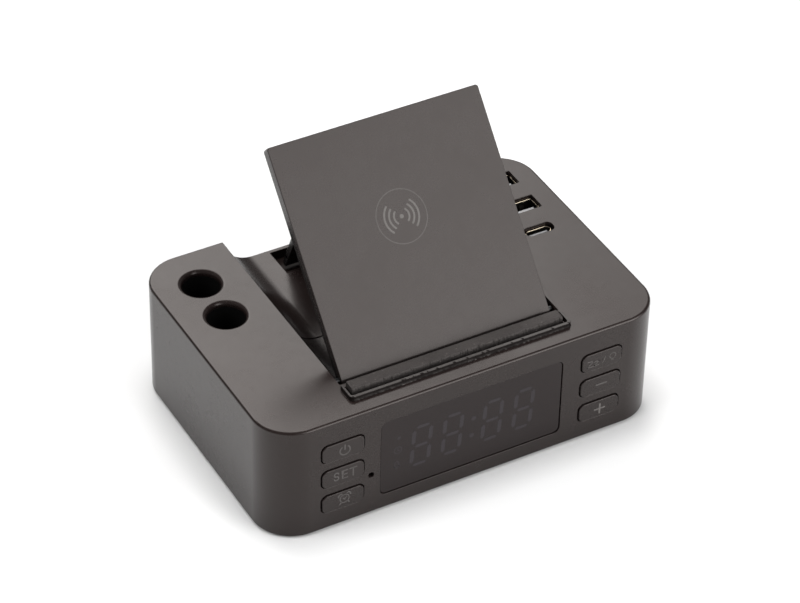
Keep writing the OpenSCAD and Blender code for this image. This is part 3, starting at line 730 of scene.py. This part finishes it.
# ------------------------------------------------------------------ sockets
def socket(prefix, node, at, unput, w, h, r, depth, floor, tongue, contacts, springs, tongue_look="tongue"):
    """Sheet-metal shell with a rolled lip, a tongue and plated contacts. Local frame: a across, b over, c up to the mouth at 0."""
    t = 0.3
    path = [(0.0, -depth), (0.0, -0.14), (0.03, -0.05), (0.09, 0.0), (t - 0.07, 0.0), (t - 0.01, -0.06), (t, -0.16), (t, -depth + floor)]
    bm = bmesh.new()
    loft(bm, [[at(x, y, c) for x, y in rr_loop(w - 2 * d, h - 2 * d, r - d)] for d, c in path])
    for sx, sy in springs:
        y_wall = sy * (h / 2 - t)
        leaf = [(0.02, -1.6), (0.34, -2.6), (0.5, -3.6), (0.36, -4.8), (0.02, -6.2)]
        for (a0, c0), (a1, c1) in zip(leaf, leaf[1:]):
            lo_hi = [(sx - 0.8, y_wall - sy * a0, c0), (sx + 0.8, y_wall - sy * a0, c0), (sx + 0.8, y_wall - sy * a1, c1), (sx - 0.8, y_wall - sy * a1, c1)]
            back = [(x, y + sy * 0.16, c) for x, y, c in lo_hi]
            v = [bm.verts.new(at(*p)) for p in lo_hi + back]
            for f in ((0, 1, 2, 3), (7, 6, 5, 4), (0, 4, 5, 1), (1, 5, 6, 2), (2, 6, 7, 3), (3, 7, 4, 0)):
                bm.faces.new([v[i] for i in f])
    # faces more than 0.3 mm below the mouth get the dark copy of the shell metal, painted shade for the inside of the
    # socket
    for f in bm.faces:
        deep = sum((unput(v.co)[2] for v in f.verts)) / len(f.verts)
        f.material_index = 1 if deep < -0.3 else 0
    shell = piece(prefix + "_shell", bm, ("shell", "shell_painted_shade"), "root", smooth=35)
    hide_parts(node)
    (tx, ty0, ty1, top) = tongue
    bm = bmesh.new()
    block(bm, (-tx, ty0, -depth + floor - 0.2), (tx, ty1, top), at, 0.12)
    piece(prefix + "_tongue", bm, tongue_look, "root")
    bm = bmesh.new()
    for x, y, sy, half in contacts:
        block(bm, (x - half, min(y, y + sy * 0.12) - 0.02, -depth + floor), (x + half, max(y, y + sy * 0.12) + 0.02, top - 0.35), at, 0.03, 1)
    piece(prefix + "_contacts", bm, "gold", "root")


def upright(cx, cy, mouth):
    return lambda a, b, c: Vector((cx + a, cy + b, mouth + c)) * MM


def local_up(p):
    return (p.x / MM - 54.6, p.y / MM, p.z / MM - MOUTH)


MOUTH = 40.8
for i, cy in ((1, 19.68), (2, 34.08)):
    socket("usb_a_%d" % i, "usb_a_port_%d" % i, upright(54.6, cy, MOUTH), local_up, 13.1, 5.7, 0.5, 12.0, 2.0,
           (5.55, -2.3, -0.4, -1.0), [(x, -0.4, 1, 0.5) for x in (-3.5, -1.0, 1.0, 3.5)],
           [(-3.0, 1), (3.0, 1), (-3.0, -1), (3.0, -1)])
socket("usb_c", "usb_c_port", upright(54.3, 6.15, MOUTH), local_up, 9.0, 3.26, 1.62, 12.0, 4.0, (3.35, -0.4, 0.4, -0.8),
       [(x * 0.75 - 2.625, y, s, 0.14) for x in range(8) for y, s in ((-0.4, -1), (0.4, 1))], [])


def rearward(a, b, c):
    return Vector((26.0 - a, 46.5 + c, 11.1 + b)) * MM


def local_rear(p):
    return (26.0 - p.x / MM, p.z / MM - 11.1, p.y / MM - 46.5)


socket("inlet", "power_inlet", rearward, local_rear, 9.0, 3.3, 1.64, 9.9, 2.0, (3.35, -0.35, 0.35, -1.1),
       [(x * 0.75 - 2.625, y, s, 0.14) for x in range(8) for y, s in ((-0.35, -1), (0.35, 1))], [], "tongue_dark")


# ------------------------------------------------------------------ screws with cross recesses
def screw_mesh(hr, hh, r, length):
    """Pan-head screw about Z, head underside at 0, tip up. Threads are shallow ridges."""
    prof = [(0.001, -hh), (hr * 0.55, -hh * 0.98), (hr * 0.82, -hh * 0.86), (hr * 0.96, -hh * 0.6), (hr, -hh * 0.3), (hr, 0.0), (r, 0.0), (r, 0.25)]
    z = 0.25
    while z < length - 0.6:
        prof += [(r, z + 0.12), (r * 0.84, z + 0.28), (r * 0.84, z + 0.38)]
        z += 0.5
    prof += [(r * 0.84, length - 0.35), (0.001, length)]
    n = 36
    bm = bmesh.new()
    loft(bm, [[Vector((q * math.cos(2 * math.pi * i / n), q * math.sin(2 * math.pi * i / n), zz)) for i in range(n)] for q, zz in prof])
    bmesh.ops.recalc_face_normals(bm, faces=bm.faces[:])
    me = bpy.data.meshes.new("screw_raw")
    bm.to_mesh(me)
    bm.free()
    body = bpy.data.objects.new("screw_raw", me)
    scene.collection.objects.link(body)
    bm = bmesh.new()
    a, b, d = hr * 0.62, hr * 0.15, hh * 0.62
    outline = [(a, -b), (a, b), (b, b), (b, a), (-b, a), (-b, b), (-a, b), (-a, -b), (-b, -b), (-b, -a), (b, -a), (b, -b)]
    loft(bm, [[Vector((x, y, -hh - 0.2)) for x, y in outline], [Vector((x, y, -hh + 0.02)) for x, y in outline], [Vector((x * 0.45, y * 0.45, -hh + d)) for x, y in outline]])
    bmesh.ops.recalc_face_normals(bm, faces=bm.faces[:])
    cut_me = bpy.data.meshes.new("screw_cut")
    bm.to_mesh(cut_me)
    bm.free()
    cut = bpy.data.objects.new("screw_cut", cut_me)
    scene.collection.objects.link(cut)
    mod = body.modifiers.new("cross", "BOOLEAN")
    mod.operation = "DIFFERENCE"
    mod.solver = "EXACT"
    mod.object = cut
    bpy.context.view_layer.update()
    done = bpy.data.meshes.new_from_object(body.evaluated_get(bpy.context.evaluated_depsgraph_get()))
    for o in (body, cut):
        bpy.data.objects.remove(o)
    return done


def screws(name, node, mesh, places, look, body):
    bm = bmesh.new()
    for m in places:
        part = bmesh.new()
        part.from_mesh(mesh)
        bmesh.ops.transform(part, matrix=m, verts=part.verts[:])
        tmp = bpy.data.meshes.new("tmp")
        part.to_mesh(tmp)
        part.free()
        bm.from_mesh(tmp)
        bpy.data.meshes.remove(tmp)
    for v in bm.verts:
        v.co *= MM
    o = piece(name, bm, look, body, smooth=35)
    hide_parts(node)


big = screw_mesh(2.3, 0.9, 1.25, 8.0)
screws("case_screws", "housing_screws", big,
       [Matrix.Translation((x, y, 1.9)) @ Matrix.Rotation(math.radians(a), 4, "Z") for x, y, a in ((-43.5, 41.4, 12), (43.5, 41.4, 57), (-59.5, -34, 33), (59.5, -34, 78))],
       "screw", "root")
small = screw_mesh(1.35, 0.6, 0.68, 2.0)
base = Matrix.Translation(HINGE) @ Matrix.Rotation(TILT, 4, "X")
screws("plate_back_screws", "plate_screws", small,
       [base @ Matrix.Translation((x, s, -1.3)) @ Matrix.Rotation(math.radians(a), 4, "Z") for x, s, a in ((-31, 7, 20), (31, 7, 65), (-31, 67, 41), (31, 67, 5))],
       "black_screw", "plate")


# ------------------------------------------------------------------ floor and light
floor_me = bpy.data.meshes.new("floor")
bm = bmesh.new()
bmesh.ops.create_grid(bm, x_segments=2, y_segments=2, size=6.0)
bm.to_mesh(floor_me)
bm.free()
floor = bpy.data.objects.new("floor", floor_me)
floor.location = (0, 0, -0.0001)
scene.collection.objects.link(floor)
fm, ft, fp, fco = start("floor_look")
link(ft, ramp(ft, noise_tex(ft, fco, 3.0), [(0.3, 0.595), (0.7, 0.605)]), fp.inputs["Base Color"])
put(fp.inputs["Roughness"], 0.9)
put(fp.inputs["Specular IOR Level"], 0.0)
floor_me.materials.append(fm)

world = bpy.data.worlds.new("studio")
scene.world = world
world.use_nodes = True
wt = world.node_tree
wt.nodes.clear()
w_out = add(wt, "ShaderNodeOutputWorld")
w_bg = add(wt, "ShaderNodeBackground")
link(wt, w_bg.outputs[0], w_out.inputs["Surface"])
direction = add(wt, "ShaderNodeTexCoord").outputs["Generated"]


def lobe(axis, inner, outer, level):
    """Soft box seen around an axis, fading between two angles from it."""
    d = add(wt, "ShaderNodeVectorMath", operation="DOT_PRODUCT")
    link(wt, direction, d.inputs[0])
    put(d.inputs[1], axis)
    return map_range(wt, d.outputs["Value"], math.cos(math.radians(outer)), math.cos(math.radians(inner)), 0.0, level, True)


def aim(az, el):
    a, e = math.radians(az), math.radians(el)
    return (math.cos(e) * math.cos(a), math.cos(e) * math.sin(a), math.sin(e))


rear_box = lobe(aim(80, 42), 6, 28, 4.8)
front_box = maths(wt, "ADD", lobe(aim(-58, 20), 8, 36, 4.4), lobe(aim(-58, 8), 4, 16, 3.6))
sweep = lobe(aim(40, 0), 4, 24, 0.1)
sky = maths(wt, "ADD", maths(wt, "ADD", rear_box, front_box), maths(wt, "ADD", sweep, 0.18))
link(wt, ramp(wt, rear_box, [(0.0, (1.0, 1.0, 1.0)), (1.0, (1.0, 0.985, 0.97))]), w_bg.inputs["Color"])
link(wt, sky, w_bg.inputs["Strength"])

top_data = bpy.data.lights.new("overhead", "AREA")
top_data.shape = "SQUARE"
top_data.size = 0.6
top_data.energy = 17.0
top = bpy.data.objects.new("overhead", top_data)
top.location = (0.0, 0.10, 1.5)
top.rotation_euler = (Vector((0, 0, 0)) - Vector(top.location)).to_track_quat("-Z", "Y").to_euler()
top.visible_glossy = False
scene.collection.objects.link(top)

fill_data = bpy.data.lights.new("side_fill", "AREA")
fill_data.shape = "SQUARE"
fill_data.size = 0.9
fill_data.energy = 17.0
fill = bpy.data.objects.new("side_fill", fill_data)
fill.location = (-1.2, 0.10, 1.05)
fill.rotation_euler = (Vector((0, 0, 0)) - Vector(fill.location)).to_track_quat("-Z", "Y").to_euler()
fill.visible_glossy = False
scene.collection.objects.link(fill)

low_data = bpy.data.lights.new("front_fill", "AREA")
low_data.shape = "SQUARE"
low_data.size = 0.9
low_data.energy = 7.5
low = bpy.data.objects.new("front_fill", low_data)
low.location = (0.7, -1.1, 1.0)
low.rotation_euler = (Vector((0, 0, 0)) - Vector(low.location)).to_track_quat("-Z", "Y").to_euler()
low.visible_glossy = False
scene.collection.objects.link(low)
